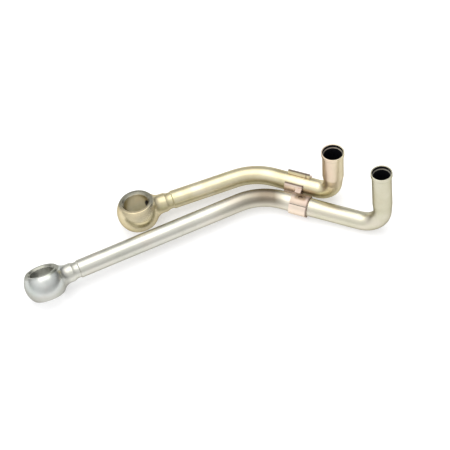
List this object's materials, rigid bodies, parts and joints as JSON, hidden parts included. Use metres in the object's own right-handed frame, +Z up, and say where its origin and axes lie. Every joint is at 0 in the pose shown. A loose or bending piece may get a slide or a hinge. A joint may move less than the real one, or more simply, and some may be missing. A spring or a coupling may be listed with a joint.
{
  "type": "coolant pipe",
  "caption": "Coolant pipe: bent plated steel tubes clipped side by side, with ball banjo eyes at one end and upturned hose stubs at the other.",
  "frame": {"origin": "middle of the bounding box, on the plane z = 0 that the part lies on", "axes": "+X along the pipes from the banjo eyes to the hose stubs, +Y from the long pipe to the short one, +Z up along the hose stubs"},
  "size_m": [0.244, 0.0944, 0.0553],
  "materials": {
    "long_tube": "yellow passivated zinc plate, satin",
    "short_tube": "golden yellow passivated zinc plate, satin",
    "long_eye": "bright zinc plate with a blue-grey cast",
    "short_eye": "yellow passivated zinc plate",
    "clip": "iridescent pink passivated sheet steel",
    "braze": "plated braze metal"
  },
  "bodies": {
    "root": {"long_pipe": "long_tube", "short_pipe": "short_tube", "long_banjo_eye": "long_eye", "short_banjo_eye": "short_eye", "long_eye_braze": "braze", "short_eye_braze": "braze", "long_clip": "clip", "short_clip": "clip", "clip_plug": "braze", "clip_braze": "braze"}
  },
  "joints": []
}
